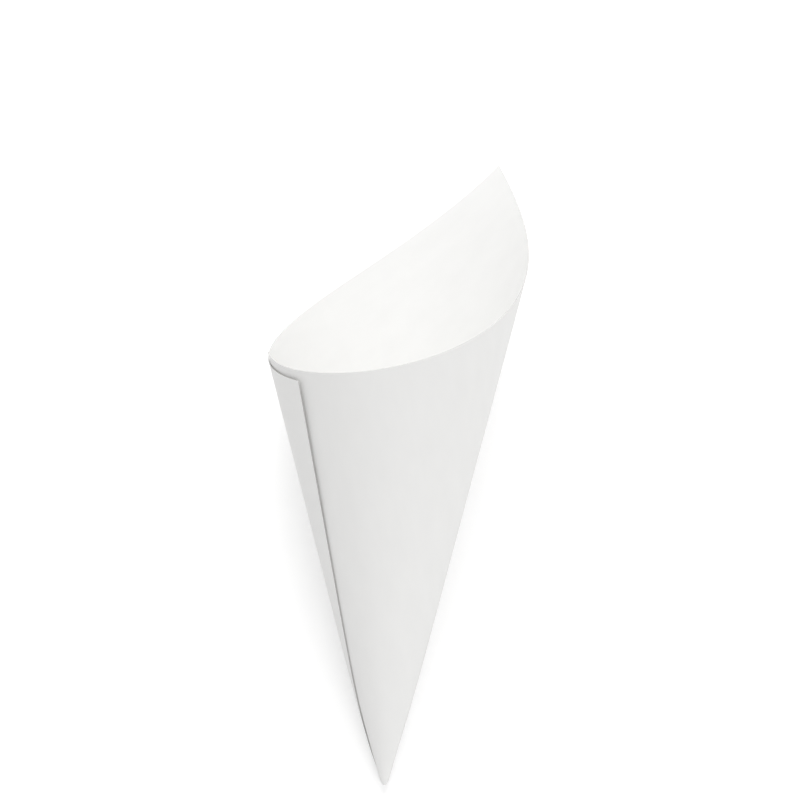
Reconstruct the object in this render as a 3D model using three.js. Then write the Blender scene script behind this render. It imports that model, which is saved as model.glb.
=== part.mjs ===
// A pointed takeaway cone, rolled from one blank of thin white card and glued where it laps over itself.
// It lies on its side, on the line that its weight brings to the bottom, with its point towards -Y.
// Millimetres, +Z up, the origin on the table under the middle of the cone's box.

import * as THREE from 'three';
import { mergeVertices } from 'three/addons/utils/BufferGeometryUtils.js';

const { sin, cos, asin, abs, ceil, max, sqrt, PI } = Math;
const { degToRad, smoothstep } = THREE.MathUtils;

// Driving dimensions. The blank turns about its pivot, the point where the cone's walls would meet.
const halfAngle = degToRad(14.4);     // from the cone's axis to its wall
const seamReach = 190;                // pivot to the rim on the seam's side of the blank
const lapReach = 194;                 // pivot to the rim on the side that goes under the lap
const seamInset = 6.2;                // how far the blank's long edge passes from the pivot
const pointCut = 5;                   // how far past that inset the point is trimmed round
const flapShoulder = 38;              // width of the glued flap where its rim starts to slant
const flapAtRim = 48;                 // its width at the end of the slant
const flapSlant = 26;                 // how far the slant drops, so that the flap stays out of sight
const flapAtPoint = 12;               // its width at the cone's point
const cardThickness = 0.35;
const glueGap = 0.15;                 // between the lapped layers, where the glue lies
const seamLift = 1.2;                 // how far the seam's free edge springs up at the rim
const seamLiftTurn = degToRad(52);    // the turn round the cone over which it comes up
const ovality = 0.022;                // how much wider the mouth is between its peak and its seam
const pointPinch = 0.72;              // how strongly the card is drawn in towards the point
const pinchReach = 80;                // pivot to where the drawing-in starts
const pointBore = 0.1;                // radius of the hole that stays open at the point
const pointRounding = 3;              // length of the rounded end
const restTurn = degToRad(39);        // from the peak round to the line that the cone lies on
const restFlat = degToRad(12);        // the arc that lies flat on the table
const facetTurn = degToRad(5);        // the arc of one flat facet of the wall
const rowCount = 14;                  // facets from the point to the rim
const rowCrowding = 2.2;              // how much closer the rows stand towards the point

// The blank lies flat with its pivot at the origin and its seam edge along +X.
const seamCorner = new THREE.Vector2(seamReach, seamInset);
const peakCorner = new THREE.Vector2(seamReach, lapReach);
const shoulderCorner = new THREE.Vector2(-flapShoulder, lapReach);
const flapCorner = new THREE.Vector2(-flapAtRim, lapReach - flapSlant);
const pointCorner = new THREE.Vector2(-flapAtPoint, seamInset);
const trimReach = seamInset + pointCut;
const trimBearing = asin(seamInset / trimReach);
const fullTurn = 2 * PI * sin(halfAngle);
const restBearing = peakCorner.angle() - restTurn * sin(halfAngle);
const restHalf = 0.5 * restFlat * sin(halfAngle);

// Distance from the pivot, along a bearing, to the straight edge through two corners of the blank.
function reachToEdge(bearing, from, to) {
  const edge = to.clone().sub(from);
  return from.cross(edge) / (cos(bearing) * edge.y - sin(bearing) * edge.x);
}

function nearReach(bearing) {
  return max(trimReach, reachToEdge(bearing, seamCorner, pointCorner));
}

function rimReach(bearing) {
  if (bearing < peakCorner.angle()) {
    return reachToEdge(bearing, seamCorner, peakCorner);
  }
  if (bearing < shoulderCorner.angle()) {
    return reachToEdge(bearing, peakCorner, shoulderCorner);
  }
  if (bearing < flapCorner.angle()) {
    return reachToEdge(bearing, shoulderCorner, flapCorner);
  }
  return reachToEdge(bearing, flapCorner, pointCorner);
}

// The bearings of the wall's straight lines: one at each corner, one at each end of the round trim, one at
// each side of the flat that the cone lies on, and between them as many as keep each facet to its arc.
function wallBearings() {
  const corners = [seamCorner, peakCorner, shoulderCorner, flapCorner, pointCorner];
  const keys = corners.map((corner) => corner.angle());
  keys.push(trimBearing, PI - trimBearing, restBearing - restHalf, restBearing + restHalf);
  keys.sort((a, b) => a - b);
  const bearings = [keys[0]];
  for (let k = 1; k < keys.length; k += 1) {
    const span = keys[k] - keys[k - 1];
    const middle = keys[k] - 0.5 * span;
    const isRestFlat = abs(middle - restBearing) < restHalf;
    const facets = isRestFlat ? 1 : ceil(span / (facetTurn * sin(halfAngle)));
    for (let f = 1; f <= facets; f += 1) {
      bearings.push(keys[k - 1] + (span * f) / facets);
    }
  }
  return bearings;
}

// How far a place on the blank lies inside the cone's outer skin: nothing on the outer layer, and one layer
// with its glue on the flap. The card steps in gradually between the two.
function tuckDepth(bearing) {
  const flapCovered = pointCorner.angle() - fullTurn;
  const seamCrossed = seamCorner.angle() + fullTurn;
  return (cardThickness + glueGap) * smoothstep(bearing, flapCovered, seamCrossed);
}

// How far the seam's free edge stands off the layer below: most at the rim and less towards the point. It
// bends up along the wall's straight lines, as card does.
function springUp(reach, bearing) {
  const alongSeam = max(0, reach * cos(bearing)) / seamReach;
  const turnFromEdge = (bearing - asin(seamInset / reach)) / sin(halfAngle);
  return seamLift * sqrt(alongSeam) * max(0, 1 - turnFromEdge / seamLiftTurn) ** 2;
}

// The share of its radius that the cone keeps where the card is drawn in towards the point.
function radiusKept(reach) {
  return 1 - pointPinch * max(0, 1 - reach / pinchReach) ** 4;
}

// How much further in the trimmed end is pressed, so that its lapped layers close up round the hole.
function endPress(reach) {
  const openRadius = trimReach * sin(halfAngle) * radiusKept(trimReach);
  const closedRadius = pointBore + 2 * cardThickness + glueGap;
  return (openRadius - closedRadius) * max(0, 1 - (reach - trimReach) / pointRounding) ** 2;
}

// Where a place on the blank comes to lie once the card is rolled: the cone's axis is +Z, the peak is on the
// side of +X, and depth is measured from the outer face into the card.
function rolledPoint(reach, bearing, depth) {
  const evenTurn = (peakCorner.angle() - bearing) / sin(halfAngle);
  const turn = evenTurn - 0.5 * ovality * sin(2 * evenTurn);
  const wallAngle = halfAngle * (1 + ovality * cos(2 * turn));
  const inward = depth + tuckDepth(bearing) - springUp(reach, bearing);
  const radius = reach * sin(wallAngle) * radiusKept(reach) - endPress(reach) - inward * cos(wallAngle);
  const height = reach * cos(wallAngle) + inward * sin(wallAngle);
  return new THREE.Vector3(radius * cos(turn), radius * sin(turn), height);
}

// One closed sheet: an outer face, an inner face and the cut edges that join them. Each line of the wall
// runs from the point's end to the rim, and the first and last lines are the blank's corners alone.
function rolledSheet() {
  const bearings = wallBearings();
  const last = bearings.length - 1;
  const positions = [];
  for (const depth of [0, cardThickness]) {
    bearings.forEach((bearing, column) => {
      const near = nearReach(bearing);
      const far = column === 0 || column === last ? near : rimReach(bearing);
      for (let row = 0; row <= rowCount; row += 1) {
        const reach = near + (far - near) * (row / rowCount) ** rowCrowding;
        positions.push(...rolledPoint(reach, bearing, depth).toArray());
      }
    });
  }

  const rowLength = rowCount + 1;
  const faceSize = bearings.length * rowLength;
  const corners = [];
  for (let column = 0; column < last; column += 1) {
    const here = column * rowLength;
    const next = here + rowLength;
    for (let row = 0; row < rowCount; row += 1) {
      const [a, b, c, d] = [here + row, here + row + 1, next + row + 1, next + row];
      corners.push([a, b, c], [a, c, d]);
      corners.push([a, c, b].map((v) => v + faceSize), [a, d, c].map((v) => v + faceSize));
    }
    corners.push([here, next, next + faceSize], [here, next + faceSize, here + faceSize]);
    const [rimHere, rimNext] = [here + rowCount, next + rowCount];
    corners.push([rimNext, rimHere, rimHere + faceSize], [rimNext, rimHere + faceSize, rimNext + faceSize]);
  }

  const loose = new THREE.BufferGeometry();
  loose.setAttribute('position', new THREE.Float32BufferAttribute(positions, 3));
  loose.setIndex(corners.flat());
  const merged = mergeVertices(loose, 1e-4);
  const whole = [];
  for (let k = 0; k < merged.index.count; k += 3) {
    const [a, b, c] = [0, 1, 2].map((step) => merged.index.getX(k + step));
    if (a !== b && b !== c && c !== a) {
      whole.push(a, b, c);
    }
  }
  merged.setIndex(whole);
  merged.computeVertexNormals();
  return merged;
}

// The turn that lays the cone down: the flat between its two edges comes to face -Z, with the mouth towards +Y.
function layingDown() {
  const left = rolledPoint(seamReach, restBearing - restHalf, 0).normalize();
  const right = rolledPoint(seamReach, restBearing + restHalf, 0).normalize();
  const forward = left.clone().add(right).normalize();
  const down = left.clone().cross(right).normalize();
  const up = down.clone().negate();
  const across = forward.clone().cross(up);
  return new THREE.Matrix4().makeBasis(across, forward, up).transpose();
}

const card = new THREE.MeshStandardMaterial({ color: 0xf1f0ed, roughness: 0.82, metalness: 0 });
const cone = new THREE.Mesh(rolledSheet(), card);
cone.name = 'rolled_cone';
cone.setRotationFromMatrix(layingDown());

const part = new THREE.Group();
part.add(cone);
part.updateMatrixWorld(true);
const box = new THREE.Box3().setFromObject(part, true);
part.position.set(-0.5 * (box.min.x + box.max.x), -0.5 * (box.min.y + box.max.y), -box.min.z);

export default part;
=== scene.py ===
# %% [markdown]
# # A rolled card cone for fries
#
# The object is one sheet of thin white card. It was cut flat with five corners, rolled round into a pointed
# cone and glued where it laps over itself. It can't stand on its point, so it lies on its side.
#
# The scene is built around a frame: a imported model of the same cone, with flat facets, that carries the
# sizes, the weight and the collision. This script replaces its look with a fine smooth sheet in the same
# place.

# %% Load the frame
from math import asin, atan2, ceil, cos, degrees, pi, radians, sin

import bmesh
import bpy
from mathutils import Matrix, Quaternion, Vector


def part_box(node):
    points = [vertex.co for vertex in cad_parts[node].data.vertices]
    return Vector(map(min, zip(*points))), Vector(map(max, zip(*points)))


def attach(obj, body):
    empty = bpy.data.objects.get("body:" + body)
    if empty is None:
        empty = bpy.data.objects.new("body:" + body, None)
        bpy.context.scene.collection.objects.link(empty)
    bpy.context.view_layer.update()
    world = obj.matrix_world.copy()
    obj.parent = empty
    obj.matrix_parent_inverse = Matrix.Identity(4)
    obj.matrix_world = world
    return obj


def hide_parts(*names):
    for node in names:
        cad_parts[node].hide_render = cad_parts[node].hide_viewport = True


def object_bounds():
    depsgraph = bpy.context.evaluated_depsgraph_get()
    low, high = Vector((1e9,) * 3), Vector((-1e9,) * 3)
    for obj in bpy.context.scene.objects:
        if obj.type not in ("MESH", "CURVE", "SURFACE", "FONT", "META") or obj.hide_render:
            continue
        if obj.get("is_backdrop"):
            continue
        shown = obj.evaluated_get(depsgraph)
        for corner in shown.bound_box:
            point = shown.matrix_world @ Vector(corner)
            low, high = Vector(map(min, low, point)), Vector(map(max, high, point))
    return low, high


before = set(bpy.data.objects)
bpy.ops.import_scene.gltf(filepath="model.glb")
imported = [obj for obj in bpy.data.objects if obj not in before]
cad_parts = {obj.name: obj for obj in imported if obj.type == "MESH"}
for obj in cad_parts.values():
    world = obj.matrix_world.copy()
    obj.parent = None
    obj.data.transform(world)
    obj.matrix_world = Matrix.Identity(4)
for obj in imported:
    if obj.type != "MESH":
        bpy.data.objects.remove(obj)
cad_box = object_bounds()
print("the packed cone's box in metres:", cad_box)

# %% [markdown]
# ## The sizes
#
# A card cone is best described by its flat blank. Think of the blank lying on a table with a pin through
# the point where the cone's walls would meet. That point is the pivot. The seam's edge runs along X and
# passes the pivot at a small distance, and this is why a real cone ends in a blunt point with a small hole
# and not in a needle. Blender works in metres, so each size is written in millimetres and turned into
# metres once.

# %% The blank and the roll
MM = 0.001
half_angle = radians(14.4)
seam_reach = 190 * MM
lap_reach = 194 * MM
seam_inset = 6.2 * MM
point_cut = 5 * MM
flap_shoulder = 38 * MM
flap_at_rim = 48 * MM
flap_slant = 26 * MM
flap_at_point = 12 * MM
card_thickness = 0.35 * MM
glue_gap = 0.15 * MM
seam_lift = 1.2 * MM
seam_lift_turn = radians(52)
ovality = 0.022
point_pinch = 0.72
pinch_reach = 80 * MM
point_bore = 0.1 * MM
point_rounding = 3 * MM
rest_turn = radians(39)
rest_flat = radians(12)

blank_corners = {
    "seam": Vector((seam_reach, seam_inset, 0)),
    "peak": Vector((seam_reach, lap_reach, 0)),
    "shoulder": Vector((-flap_shoulder, lap_reach, 0)),
    "flap": Vector((-flap_at_rim, lap_reach - flap_slant, 0)),
    "point": Vector((-flap_at_point, seam_inset, 0)),
}
bearing = {name: atan2(corner.y, corner.x) for name, corner in blank_corners.items()}
trim_reach = seam_inset + point_cut
trim_bearing = asin(seam_inset / trim_reach)
full_turn = 2 * pi * sin(half_angle)
rest_bearing = bearing["peak"] - rest_turn * sin(half_angle)
rest_half = 0.5 * rest_flat * sin(half_angle)
print("one turn round the cone takes up", round(full_turn / pi * 180, 1), "degrees of the blank")

# %% [markdown]
# ## Cutting the blank
#
# The blank starts as one face with five corners. Rolling bends it, so it first needs vertices along the
# lines that it bends about. Those lines all run through the pivot, like the ribs of a fan. A grid would not
# follow them, and its faces would twist. `bisect_plane` cuts straight through the face along a plane, as a
# knife and a ruler would, so each cut lies exactly on a rib. A second set of cuts runs beside the seam.
# They stand close together near the seam and the point, where the card curves the other way too.

# %% A flat blank, scored along its ribs
rib_turn = radians(1.5)
close_rows = [0.5, 1, 1.5, 2, 3, 4, 5, 6, 7, 8, 9, 10, 11, 12, 14, 17, 22, 30, 42]
wide_rows = [60, 80, 100, 120, 140, 160, 175]


def cut(sheet, through, normal):
    """Cuts every face of the sheet along one plane and keeps both sides."""
    everything = sheet.verts[:] + sheet.edges[:] + sheet.faces[:]
    bmesh.ops.bisect_plane(sheet, geom=everything, dist=1e-9, plane_co=through, plane_no=normal)


def rib_bearings():
    """The bearings of the ribs, with one at each corner, trim end and side of the resting flat."""
    trim_ends = [trim_bearing, pi - trim_bearing]
    keys = sorted([*bearing.values(), *trim_ends, rest_bearing - rest_half, rest_bearing + rest_half])
    ribs = []
    for start, end in zip(keys, keys[1:]):
        count = ceil((end - start) / (rib_turn * sin(half_angle)))
        ribs += [start + (end - start) * step / count for step in range(1, count + 1)]
    return ribs[:-1]


blank = bmesh.new()
blank.faces.new([blank.verts.new(corner) for corner in blank_corners.values()])
for rib in rib_bearings():
    cut(blank, Vector((0, 0, 0)), Vector((-sin(rib), cos(rib), 0)))
for row in close_rows + wide_rows:
    cut(blank, Vector((0, seam_inset + row * MM, 0)), Vector((0, 1, 0)))
print("the scored blank has", len(blank.faces), "faces")

# %% [markdown]
# A sheet that ran right up to the pivot would roll into a needle. So the blank is trimmed round there.
# Every vertex that lies inside the trim slides out along its own rib until it meets it, and those that end
# up in one place are merged.

# %% Trim the blank round at the point
for vertex in blank.verts:
    if vertex.co.length < trim_reach:
        vertex.co *= trim_reach / vertex.co.length
bmesh.ops.remove_doubles(blank, verts=blank.verts, dist=1e-6)
print("the trimmed blank has", len(blank.faces), "faces")

# %% [markdown]
# The card's fibres and its print side belong to the flat sheet, not to the space that the cone stands in.
# So each vertex remembers where it lay on the blank. The material reads that place later, and its grain
# then follows the roll without a stretch or a jump.

# %% Remember the flat place of each vertex
flat_place = blank.verts.layers.float_vector.new("flat_place")
for vertex in blank.verts:
    vertex[flat_place] = vertex.co

# %% [markdown]
# ## Rolling the card
#
# Paper bends but doesn't stretch. On a cone this means that a place keeps its distance from the pivot, and
# its bearing on the blank becomes a turn round the axis. Three small departures make it a real cone. The
# part that goes under the lap steps in by one layer. The seam's free edge springs up a little, because a
# glued lap never holds right to its edge. It is highest at the rim and falls off with the square of the way
# along the seam, a little faster than in the frame's coarser lap. And towards the point the card is drawn
# in more and more, until its lapped layers close round a hole that is hardly there.

# %% Where each place on the blank comes to lie


def smooth_between(value, start, end):
    """Goes from 0 to 1 between start and end, with a soft beginning and end."""
    share = min(1, max(0, (value - start) / (end - start)))
    return share * share * (3 - 2 * share)


def radius_kept(reach):
    """The share of its radius that the cone keeps where it is drawn in towards the point."""
    return 1 - point_pinch * max(0, 1 - reach / pinch_reach) ** 4


def end_press(reach):
    """How much further in the trimmed end is pressed, until its lapped layers close round the hole."""
    open_radius = trim_reach * sin(half_angle) * radius_kept(trim_reach)
    closed_radius = point_bore + 2 * card_thickness + glue_gap
    return (open_radius - closed_radius) * max(0, 1 - (reach - trim_reach) / point_rounding) ** 2


def rolled(place):
    """The point round the upright cone, with its peak towards +X, where a place on the flat blank ends up."""
    reach = place.length
    turned = atan2(place.y, place.x)
    tuck = (card_thickness + glue_gap) * smooth_between(
        turned, bearing["point"] - full_turn, bearing["seam"] + full_turn
    )
    turn_from_edge = (turned - asin(min(1, seam_inset / reach))) / sin(half_angle)
    along_seam = max(0, place.x) / seam_reach
    spring = seam_lift * (along_seam * max(0, 1 - turn_from_edge / seam_lift_turn)) ** 2
    even_turn = (bearing["peak"] - turned) / sin(half_angle)
    turn = even_turn - 0.5 * ovality * sin(2 * even_turn)
    wall = half_angle * (1 + ovality * cos(2 * turn))
    inward = tuck - spring
    radius = reach * sin(wall) * radius_kept(reach) - end_press(reach) - inward * cos(wall)
    height = reach * cos(wall) + inward * sin(wall)
    return Vector((radius * cos(turn), radius * sin(turn), height))


for vertex in blank.verts:
    vertex.co = rolled(vertex[flat_place])

# %% [markdown]
# ## Laying the cone down
#
# An empty cone rolls over until its mass centre is as low as it can be. The tall wall is heavier than the
# low front, so the cone comes to lie near its peak's line, with the seam on top. The matrix below has the
# three directions of the lying cone as its rows: across, forward and up.

# %% Turn the cone onto the line that it lies on


def rib_way(rib):
    """The direction of a rib on the flat blank."""
    return Vector((cos(rib), sin(rib), 0))


left_side = rolled(rib_way(rest_bearing - rest_half) * seam_reach).normalized()
right_side = rolled(rib_way(rest_bearing + rest_half) * seam_reach).normalized()
forward = (left_side + right_side).normalized()
up = right_side.cross(left_side).normalized()
laying_down = Matrix((forward.cross(up), forward, up))
bmesh.ops.transform(blank, matrix=laying_down.to_4x4(), verts=blank.verts)

# %% [markdown]
# The arc below the cone is the one place that isn't round: it lies flat on the table. The vertices there
# are raised by a hair's breadth, level with the two ribs beside them. So the sheet touches the table along
# a strip and not in a line.

# %% Press the resting arc flat and put the cone where the frame has it
for vertex in blank.verts:
    turned = atan2(vertex[flat_place].y, vertex[flat_place].x)
    if abs(turned - rest_bearing) < rest_half:
        beside = (laying_down @ rolled(rib_way(rest_bearing - rest_half) * vertex[flat_place].length)).z
        vertex.co.z = max(vertex.co.z, beside)

xs = [vertex.co.x for vertex in blank.verts]
ys = [vertex.co.y for vertex in blank.verts]
box_low, box_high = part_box("rolled_cone")
pivot = Vector((
    0.5 * (box_low.x + box_high.x - min(xs) - max(xs)),
    0.5 * (box_low.y + box_high.y - min(ys) - max(ys)),
    box_low.z,
))
bmesh.ops.translate(blank, vec=pivot, verts=blank.verts)
print("the point where the walls would meet:", pivot)

# %% [markdown]
# ## Giving the card its thickness
#
# The rolled sheet is a skin with no thickness. Its faces are made to point outwards first, because
# `solidify` grows the wall along them. The cut edges stay crisp: every edge where two faces meet at a steep
# angle is marked as sharp, and the broad faces are shaded smooth. A face that joins the old skin to the new
# one is a cut edge, and it takes the second material, a darker card. That darkness is partly the raw fibre
# of a cut edge and partly painted shade: it stands in for the shadow in the seam's gap and dims the lit rim.

# %% Thicken the sheet and keep its cut edges sharp
sharp_from = radians(40)
bmesh.ops.remove_doubles(blank, verts=blank.verts, dist=1e-7)
bmesh.ops.recalc_face_normals(blank, faces=blank.faces)
lowest = min(blank.faces, key=lambda face: face.calc_center_median().z)
if lowest.normal.z > 0:
    bmesh.ops.reverse_faces(blank, faces=blank.faces)
for face in blank.faces:
    face.smooth = True
skin_faces = len(blank.faces)
skin_vertices = set(blank.verts)
bmesh.ops.solidify(blank, geom=blank.faces[:], thickness=card_thickness)
for face in blank.faces:
    sides = {vertex in skin_vertices for vertex in face.verts}
    face.material_index = len(sides) - 1
for edge in blank.edges:
    edge.smooth = len(edge.link_faces) == 2 and edge.calc_face_angle(0) < sharp_from

card_mesh = bpy.data.meshes.new("rolled_card")
blank.to_mesh(card_mesh)
blank.free()
card_cone = bpy.data.objects.new("rolled_card", card_mesh)
bpy.context.scene.collection.objects.link(card_cone)
print("the skin had", skin_faces, "faces and the sheet has", len(card_mesh.polygons))

# %% [markdown]
# ## The card's surface
#
# Food card is bleached white and lightly coated. It is matte, almost neutral and a touch warm. Close up it
# has a soft mottle where the fibres lie thicker and a very fine tooth. Both are made once, as a node group
# with named inputs, because the faces and the cut edges share them at different strengths.

# %% A node group for card fibre
cloud_scale = 160
fibre_scale = 2600
grain_stretch = (1, 0.35, 1)
cloud_span = (0.3, 0.7)
roughness_span = (0.62, 0.78)
tooth_height = 0.02 * MM


def socket(group, name, kind, is_input, value=None):
    """Adds one named socket to a node group."""
    made = group.interface.new_socket(
        name=name, in_out="INPUT" if is_input else "OUTPUT", socket_type=kind
    )
    if value is not None:
        made.default_value = value


def noise(nodes, links, place, scale, detail):
    """A noise texture that reads a given place."""
    texture = nodes.new("ShaderNodeTexNoise")
    texture.inputs["Scale"].default_value = scale
    texture.inputs["Detail"].default_value = detail
    links.new(place, texture.inputs["Vector"])
    return texture.outputs["Fac"]


def card_fibre_group():
    """Mottle for the colour and the roughness, and a fine tooth for the bump, from a place on the blank."""
    group = bpy.data.node_groups.new("card fibre", "ShaderNodeTree")
    socket(group, "Place", "NodeSocketVector", True)
    socket(group, "Paper Colour", "NodeSocketColor", True, (0.8, 0.8, 0.8, 1))
    socket(group, "Mottle", "NodeSocketFloat", True, 0.02)
    socket(group, "Tooth", "NodeSocketFloat", True, 0.1)
    socket(group, "Colour", "NodeSocketColor", False)
    socket(group, "Roughness", "NodeSocketFloat", False)
    socket(group, "Normal", "NodeSocketVector", False)
    nodes, links = group.nodes, group.links
    inlet = nodes.new("NodeGroupInput")
    outlet = nodes.new("NodeGroupOutput")

    along_grain = nodes.new("ShaderNodeVectorMath")
    along_grain.operation = "MULTIPLY"
    along_grain.inputs[1].default_value = grain_stretch
    links.new(inlet.outputs["Place"], along_grain.inputs[0])
    clouds = noise(nodes, links, along_grain.outputs["Vector"], cloud_scale, 3)
    fibres = noise(nodes, links, along_grain.outputs["Vector"], fibre_scale, 4)

    shade = nodes.new("ShaderNodeMapRange")
    shade.inputs["From Min"].default_value = cloud_span[0]
    shade.inputs["From Max"].default_value = cloud_span[1]
    shade.inputs["To Max"].default_value = 1
    links.new(clouds, shade.inputs["Value"])
    darker = nodes.new("ShaderNodeMath")
    darker.operation = "SUBTRACT"
    darker.inputs[0].default_value = 1
    links.new(inlet.outputs["Mottle"], darker.inputs[1])
    links.new(darker.outputs["Value"], shade.inputs["To Min"])
    tint = nodes.new("ShaderNodeVectorMath")
    tint.operation = "SCALE"
    links.new(inlet.outputs["Paper Colour"], tint.inputs[0])
    links.new(shade.outputs["Result"], tint.inputs["Scale"])
    links.new(tint.outputs["Vector"], outlet.inputs["Colour"])

    matte = nodes.new("ShaderNodeMapRange")
    matte.inputs["To Min"].default_value = roughness_span[0]
    matte.inputs["To Max"].default_value = roughness_span[1]
    links.new(clouds, matte.inputs["Value"])
    links.new(matte.outputs["Result"], outlet.inputs["Roughness"])

    bump = nodes.new("ShaderNodeBump")
    bump.inputs["Distance"].default_value = tooth_height
    links.new(inlet.outputs["Tooth"], bump.inputs["Strength"])
    links.new(fibres, bump.inputs["Height"])
    links.new(bump.outputs["Normal"], outlet.inputs["Normal"])
    return group


card_fibre = card_fibre_group()


def card_material(name, colour, mottle, tooth):
    """White card whose fibre pattern follows the flat blank."""
    material = bpy.data.materials.new(name)
    material.use_nodes = True
    nodes, links = material.node_tree.nodes, material.node_tree.links
    shader = nodes["Principled BSDF"]
    shader.inputs["Specular IOR Level"].default_value = 0.35
    place = nodes.new("ShaderNodeAttribute")
    place.attribute_name = "flat_place"
    fibre = nodes.new("ShaderNodeGroup")
    fibre.node_tree = card_fibre
    fibre.inputs["Paper Colour"].default_value = (*colour, 1)
    fibre.inputs["Mottle"].default_value = mottle
    fibre.inputs["Tooth"].default_value = tooth
    links.new(place.outputs["Vector"], fibre.inputs["Place"])
    links.new(fibre.outputs["Colour"], shader.inputs["Base Color"])
    links.new(fibre.outputs["Roughness"], shader.inputs["Roughness"])
    links.new(fibre.outputs["Normal"], shader.inputs["Normal"])
    return material


card_mesh.materials.append(card_material("white card", (0.86, 0.858, 0.848), 0.02, 0.25))
# The cut edges' darker colour is partly raw fibre and partly painted shade: the seam gap's shadow and a
# dimmed rim.
card_mesh.materials.append(card_material("cut card with painted shade", (0.58, 0.575, 0.56), 0.08, 0.6))
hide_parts("rolled_cone")
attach(card_cone, "root")

# %% [markdown]
# ## The camera
#
# The photograph was taken from far away with a long lens, so the cone's edges hardly converge. It shows the
# cone upright, and here the cone lies down. So the camera looks down on it, along the same line as the
# photographer did, with the cone's point at the bottom of the picture. That line is given from the cone's
# own axis: how far round from the camera the peak is, and how far the camera looks down into the mouth.

# %% A long lens above the cone
picture_size = 800
sensor_width = 36
pixels_per_metre = 2421.5
camera_distance = 2.753
peak_turn = radians(138)
view_into_mouth = radians(7.94)
picture_turn = radians(0.36)
pivot_pixel = Vector((383.7, 810.8))

back = laying_down @ Vector((
    cos(peak_turn) * cos(view_into_mouth),
    -sin(peak_turn) * cos(view_into_mouth),
    sin(view_into_mouth),
))
cone_axis = laying_down @ Vector((0, 0, 1))
upright = (cone_axis - cone_axis.dot(back) * back).normalized()
picture_up = Quaternion(back, picture_turn) @ upright
picture_right = picture_up.cross(back)
middle_pixel = 0.5 * picture_size
to_the_right = picture_right * (middle_pixel - pivot_pixel.x)
to_the_top = picture_up * (pivot_pixel.y - middle_pixel)
aim = pivot + (to_the_right + to_the_top) / pixels_per_metre

camera_data = bpy.data.cameras.new("camera")
camera_data.sensor_width = sensor_width
camera_data.lens = sensor_width * camera_distance * pixels_per_metre / picture_size
camera = bpy.data.objects.new("camera", camera_data)
turned_view = Matrix((picture_right, picture_up, back)).transposed()
camera.matrix_world = Matrix.Translation(aim + back * camera_distance) @ turned_view.to_4x4()
bpy.context.scene.collection.objects.link(camera)
bpy.context.scene.camera = camera
print("the lens is", round(camera_data.lens), "mm, and the camera stands", round(degrees(asin(back.z)), 1),
      "degrees above the table")

# %% [markdown]
# ## Floor and light
#
# The floor is a large pale sheet. A white object on a white floor is told apart by soft shade alone, so the
# lamps are large and gentle. The strong one stands beyond the mouth and fills the inside. A weaker one
# stands on the point's side, and a faint one at the right. A little light that only the camera sees keeps
# the floor white, and the cone's shadow still falls on it.

# %% A pale floor
floor_size = 6
floor_glow = 0.2
floor_data = bpy.data.meshes.new("floor")
floor_shape = bmesh.new()
bmesh.ops.create_grid(floor_shape, x_segments=1, y_segments=1, size=0.5 * floor_size)
floor_shape.to_mesh(floor_data)
floor_shape.free()
floor = bpy.data.objects.new("floor", floor_data)
bpy.context.scene.collection.objects.link(floor)
floor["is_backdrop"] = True

floor_paint = bpy.data.materials.new("pale floor")
floor_paint.use_nodes = True
floor_nodes, floor_links = floor_paint.node_tree.nodes, floor_paint.node_tree.links
floor_shader = floor_nodes["Principled BSDF"]
floor_shader.inputs["Base Color"].default_value = (0.9, 0.9, 0.9, 1)
floor_shader.inputs["Roughness"].default_value = 0.9
floor_shader.inputs["Specular IOR Level"].default_value = 0.1
floor_shader.inputs["Emission Color"].default_value = (1, 1, 1, 1)
ray_kind = floor_nodes.new("ShaderNodeLightPath")
glow = floor_nodes.new("ShaderNodeMath")
glow.operation = "MULTIPLY"
glow.inputs[1].default_value = floor_glow
floor_links.new(ray_kind.outputs["Is Camera Ray"], glow.inputs[0])
floor_links.new(glow.outputs["Value"], floor_shader.inputs["Emission Strength"])
floor_data.materials.append(floor_paint)

# %% Lamps and sky


def soft_lamp(name, place, width, watts):
    """A square area lamp that faces the cone."""
    lamp_data = bpy.data.lights.new(name, "AREA")
    lamp_data.size = width
    lamp_data.energy = watts
    lamp = bpy.data.objects.new(name, lamp_data)
    lamp.location = place
    lamp.rotation_euler = place.to_track_quat("Z", "Y").to_euler()
    bpy.context.scene.collection.objects.link(lamp)


soft_lamp("key", Vector((0, 1.6, 1.0)), 1.2, 28)
soft_lamp("fill", Vector((0.5, -1.1, 1.0)), 1.0, 5.2)
soft_lamp("side", Vector((1.5, 0.2, 0.8)), 1.0, 0.9)

sky = bpy.data.worlds.new("studio")
sky.use_nodes = True
sky.node_tree.nodes["Background"].inputs["Color"].default_value = (1, 1, 1, 1)
sky.node_tree.nodes["Background"].inputs["Strength"].default_value = 0.66
bpy.context.scene.world = sky
bpy.context.scene.view_settings.view_transform = "Standard"

# %% Write the two boxes and finish


def plain(value):
    """A box as nested lists of plain numbers."""
    return [plain(part) for part in value] if hasattr(value, "__len__") else float(value)


{"cad": plain(cad_box), "visual": plain(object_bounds())}
